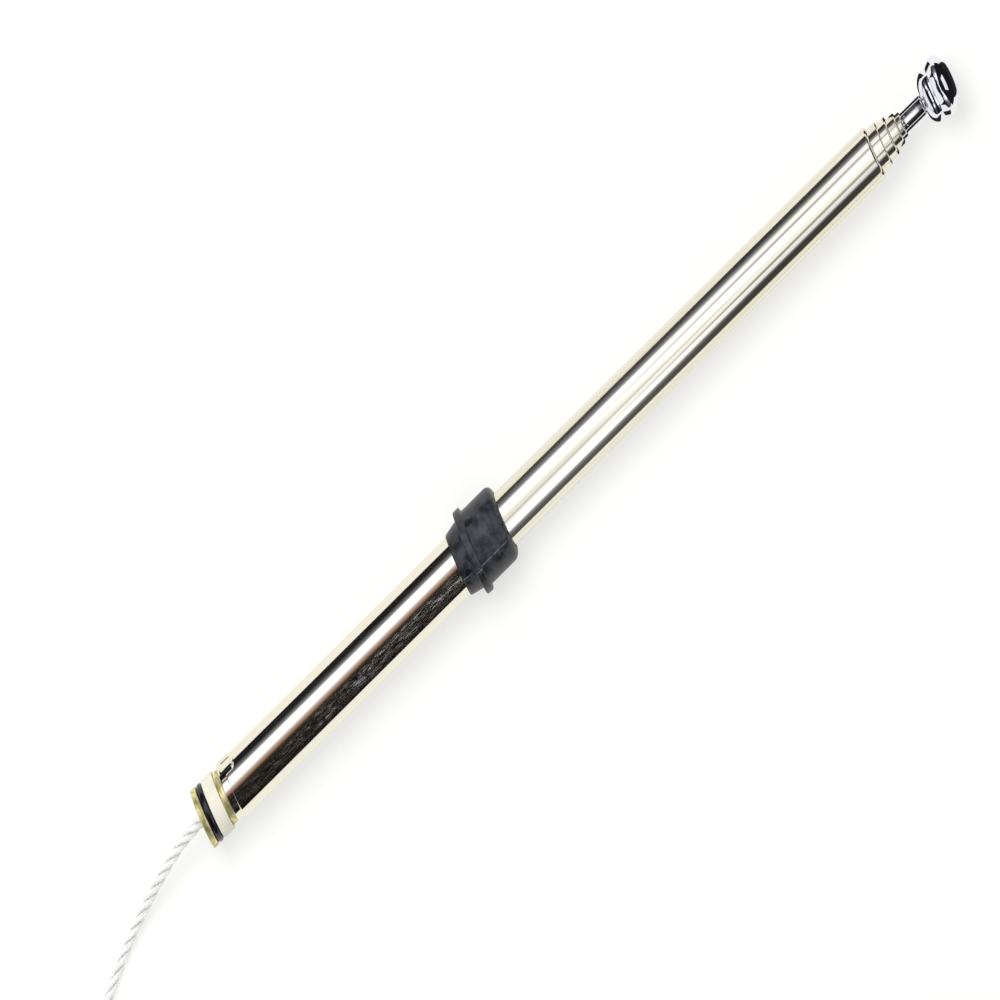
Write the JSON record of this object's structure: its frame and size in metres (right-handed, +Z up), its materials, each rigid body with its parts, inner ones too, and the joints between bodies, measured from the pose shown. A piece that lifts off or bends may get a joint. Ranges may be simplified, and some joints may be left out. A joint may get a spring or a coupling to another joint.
{
  "type": "telescopic antenna mast",
  "caption": "Car power-antenna mast: nested sliding metal tubes with a mushroom tip, a flanged rubber grommet, a ringed base and a nylon drive cord.",
  "frame": {"origin": "on the table, under the middle of the mast's length (the free cord left out)", "axes": "+X along the mast from the base to the tip, +Z up from the table"},
  "size_m": [0.3717, 0.0437, 0.0194],
  "materials": {
    "tube_chrome": "mirror nickel-chrome plate with fine scratches",
    "stage_nickel": "satin nickel, drawn lengthwise",
    "bright_chrome": "mirror chrome",
    "ring_brass": "turned brass, slightly tarnished",
    "black_rubber": "moulded, satin",
    "seal_rubber": "smooth, oiled",
    "ivory_nylon": "turned nylon",
    "cord_nylon": "translucent twisted nylon",
    "tie_plastic": "soft flat strip"
  },
  "bodies": {
    "base": {"end_ring": "ring_brass", "base_o_ring": "seal_rubber", "insulating_collar": "ivory_nylon", "contact_ring": "ring_brass", "base_plug": "tube_chrome", "cord_guide_bush": "ivory_nylon", "base_tube": "tube_chrome", "locating_key": "tube_chrome", "panel_grommet": "black_rubber", "drive_cord": "cord_nylon", "drive_cord_coil": "cord_nylon", "coil_tie": "tie_plastic"},
    "stage_1": {"stage_1_tube": "stage_nickel", "contact_sleeve_1": "ring_brass"},
    "stage_2": {"stage_2_tube": "stage_nickel", "contact_sleeve_2": "ring_brass"},
    "stage_3": {"stage_3_tube": "stage_nickel", "contact_sleeve_3": "ring_brass"},
    "stage_4": {"stage_4_tube": "stage_nickel", "contact_sleeve_4": "ring_brass"},
    "stage_5": {"stage_5_tube": "stage_nickel", "contact_sleeve_5": "ring_brass"},
    "rod": {"top_rod": "bright_chrome", "contact_sleeve_6": "ring_brass", "tip_head": "bright_chrome", "cord_anchor": "ring_brass", "inner_drive_cord": "cord_nylon"}
  },
  "joints": [
    {"name": "stage_1_slide", "type": "slide", "parent": "base", "child": "stage_1", "axis": [1, 0, 0], "range_m": [0, 0.072]},
    {"name": "stage_2_slide", "type": "slide", "parent": "stage_1", "child": "stage_2", "axis": [1, 0, 0], "range_m": [0, 0.184]},
    {"name": "stage_3_slide", "type": "slide", "parent": "stage_2", "child": "stage_3", "axis": [1, 0, 0], "range_m": [0, 0.184]},
    {"name": "stage_4_slide", "type": "slide", "parent": "stage_3", "child": "stage_4", "axis": [1, 0, 0], "range_m": [0, 0.184]},
    {"name": "stage_5_slide", "type": "slide", "parent": "stage_4", "child": "stage_5", "axis": [1, 0, 0], "range_m": [0, 0.184]},
    {"name": "rod_slide", "type": "slide", "parent": "stage_5", "child": "rod", "axis": [1, 0, 0], "range_m": [0, 0.184]}
  ]
}
